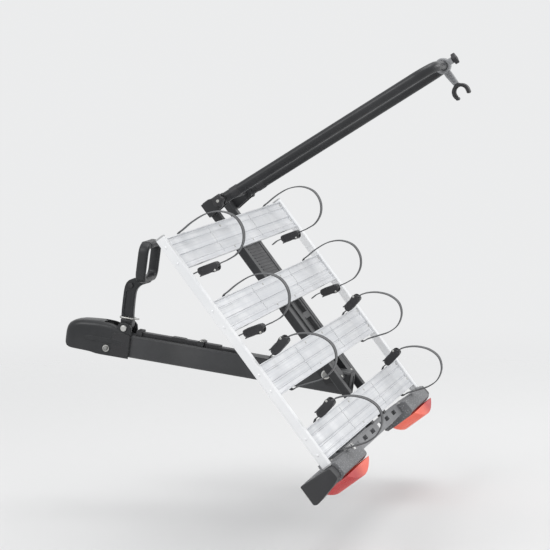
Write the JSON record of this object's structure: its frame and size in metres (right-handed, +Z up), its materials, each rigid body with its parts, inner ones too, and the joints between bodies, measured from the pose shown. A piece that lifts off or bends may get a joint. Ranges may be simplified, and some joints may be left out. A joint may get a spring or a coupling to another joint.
{
  "type": "tilting tow-ball bicycle carrier",
  "caption": "Tow-ball bicycle carrier: clamp-lever coupler and drawbar, tilting platform of wheel trays with ratchet straps, hoop mast with frame holder, lamp board.",
  "frame": {"origin": "centre of the tow ball that the coupler head closes on", "axes": "+X rearward, away from the car; +Y to the right of a person facing forward; +Z up"},
  "size_m": [1.1084, 1.3, 1.0702],
  "materials": {
    "steel_black": "black powder coat, satin",
    "aluminium": "anodised, satin",
    "zinc": "bright zinc plate",
    "plastic_black": "fine moulded grain",
    "plastic_grey": "mid grey moulded grain",
    "lens_red": "clear moulded red",
    "strap": "dark grey moulded band"
  },
  "bodies": {
    "root": {"coupler_housing": "steel_black", "ball_cup": "zinc", "head_bolt": "zinc", "lever_pin": "zinc", "drawbar": "steel_black", "rod_guide": "steel_black"},
    "clamp_jaw": {"clamp_jaw": "zinc"},
    "clamp_lever": {"clamp_lever": "steel_black"},
    "release_rod": {"release_rod": "plastic_black"},
    "platform": {"frame_member_left": "steel_black", "frame_member_right": "steel_black", "pivot_plate_left": "steel_black", "pivot_plate_right": "steel_black", "tilt_bolt": "zinc", "infill_plate": "plastic_black", "slotted_plate": "steel_black", "side_rail_left": "aluminium", "side_rail_right": "aluminium", "wheel_tray_1": "aluminium", "wheel_tray_2": "aluminium", "wheel_tray_3": "aluminium", "wheel_tray_4": "aluminium", "mast_bracket_left": "steel_black", "mast_bracket_right": "steel_black", "plate_board": "plastic_grey", "lamp_housing_left": "plastic_grey", "lamp_housing_right": "plastic_grey", "lamp_cap_left": "plastic_black", "lamp_cap_right": "plastic_black", "lamp_lens_left": "lens_red", "lamp_lens_right": "lens_red", "wheel_strap_1_left": "strap", "buckle_1_left": "plastic_black", "wheel_strap_1_right": "strap", "buckle_1_right": "plastic_black", "wheel_strap_2_left": "strap", "buckle_2_left": "plastic_black", "wheel_strap_2_right": "strap", "buckle_2_right": "plastic_black", "wheel_strap_3_left": "strap", "buckle_3_left": "plastic_black", "wheel_strap_3_right": "strap", "buckle_3_right": "plastic_black", "wheel_strap_4_left": "strap", "buckle_4_left": "plastic_black", "wheel_strap_4_right": "strap", "buckle_4_right": "plastic_black"},
    "mast_pin": {"mast_pin": "plastic_black"},
    "mast": {"mast_hoop": "steel_black"},
    "holder": {"holder_arm": "plastic_black", "holder_jaw": "plastic_black"},
    "holder_knob": {"holder_knob": "plastic_black"},
    "buckle_lever_1_left": {"buckle_lever_1_left": "plastic_black"},
    "buckle_lever_1_right": {"buckle_lever_1_right": "plastic_black"},
    "buckle_lever_2_left": {"buckle_lever_2_left": "plastic_black"},
    "buckle_lever_2_right": {"buckle_lever_2_right": "plastic_black"},
    "buckle_lever_3_left": {"buckle_lever_3_left": "plastic_black"},
    "buckle_lever_3_right": {"buckle_lever_3_right": "plastic_black"},
    "buckle_lever_4_left": {"buckle_lever_4_left": "plastic_black"},
    "buckle_lever_4_right": {"buckle_lever_4_right": "plastic_black"}
  },
  "joints": [
    {"name": "platform_tilt", "type": "hinge", "parent": "root", "child": "platform", "pos_m": [0.702, 0, -0.051], "axis": [0, 1, 0], "range_deg": [-44.9, 0]},
    {"name": "lever_swing", "type": "hinge", "parent": "root", "child": "clamp_lever", "pos_m": [0.13676, 0, 0.05618], "axis": [0, 1, 0], "range_deg": [-50, 0]},
    {"name": "jaw_slide", "type": "slide", "parent": "root", "child": "clamp_jaw", "axis": [0.991, 0, -0.134], "range_m": [0, 0.0061]},
    {"name": "release_slide", "type": "slide", "parent": "root", "child": "release_rod", "axis": [0.991, 0, -0.134], "range_m": [-0.012, 0]},
    {"name": "mast_fold", "type": "hinge", "parent": "platform", "child": "mast", "pos_m": [0.44127, 0, 0.42054], "axis": [0, 1, 0], "range_deg": [0, 75]},
    {"name": "mast_pin_turn", "type": "hinge", "parent": "platform", "child": "mast_pin", "pos_m": [0.44127, 0, 0.42054], "axis": [0, 1, 0], "continuous": true},
    {"name": "holder_swivel", "type": "hinge", "parent": "mast", "child": "holder", "pos_m": [0.99995, 0, 0.77195], "axis": [0, 1, 0], "range_deg": [-60, 45]},
    {"name": "knob_turn", "type": "hinge", "parent": "holder", "child": "holder_knob", "pos_m": [1.03381, 0.04, 0.79324], "axis": [0.8465, 0, 0.5324], "continuous": true},
    {"name": "ratchet_1_left", "type": "hinge", "parent": "platform", "child": "buckle_lever_1_left", "pos_m": [0.5323, -0.53, 0.27824], "axis": [0, 1, 0], "range_deg": [-60, 0], "stiffness_Nm_per_rad": 0.2},
    {"name": "ratchet_1_right", "type": "hinge", "parent": "platform", "child": "buckle_lever_1_right", "pos_m": [0.5323, 0.36, 0.27824], "axis": [0, 1, 0], "range_deg": [-60, 0], "stiffness_Nm_per_rad": 0.2},
    {"name": "ratchet_2_left", "type": "hinge", "parent": "platform", "child": "buckle_lever_2_left", "pos_m": [0.64762, -0.53, 0.12724], "axis": [0, 1, 0], "range_deg": [-60, 0], "stiffness_Nm_per_rad": 0.2},
    {"name": "ratchet_2_right", "type": "hinge", "parent": "platform", "child": "buckle_lever_2_right", "pos_m": [0.64762, 0.36, 0.12724], "axis": [0, 1, 0], "range_deg": [-60, 0], "stiffness_Nm_per_rad": 0.2},
    {"name": "ratchet_3_left", "type": "hinge", "parent": "platform", "child": "buckle_lever_3_left", "pos_m": [0.69763, -0.53, 0.11486], "axis": [0, 1, 0], "range_deg": [0, 60], "stiffness_Nm_per_rad": 0.2},
    {"name": "ratchet_3_right", "type": "hinge", "parent": "platform", "child": "buckle_lever_3_right", "pos_m": [0.69763, 0.36, 0.11486], "axis": [0, 1, 0], "range_deg": [0, 60], "stiffness_Nm_per_rad": 0.2},
    {"name": "ratchet_4_left", "type": "hinge", "parent": "platform", "child": "buckle_lever_4_left", "pos_m": [0.81295, -0.53, -0.03614], "axis": [0, 1, 0], "range_deg": [0, 60], "stiffness_Nm_per_rad": 0.2},
    {"name": "ratchet_4_right", "type": "hinge", "parent": "platform", "child": "buckle_lever_4_right", "pos_m": [0.81295, 0.36, -0.03614], "axis": [0, 1, 0], "range_deg": [0, 60], "stiffness_Nm_per_rad": 0.2}
  ],
  "couplings": [
    {"joint": "jaw_slide", "follows": "lever_swing", "m_per_rad": -0.006875}
  ]
}
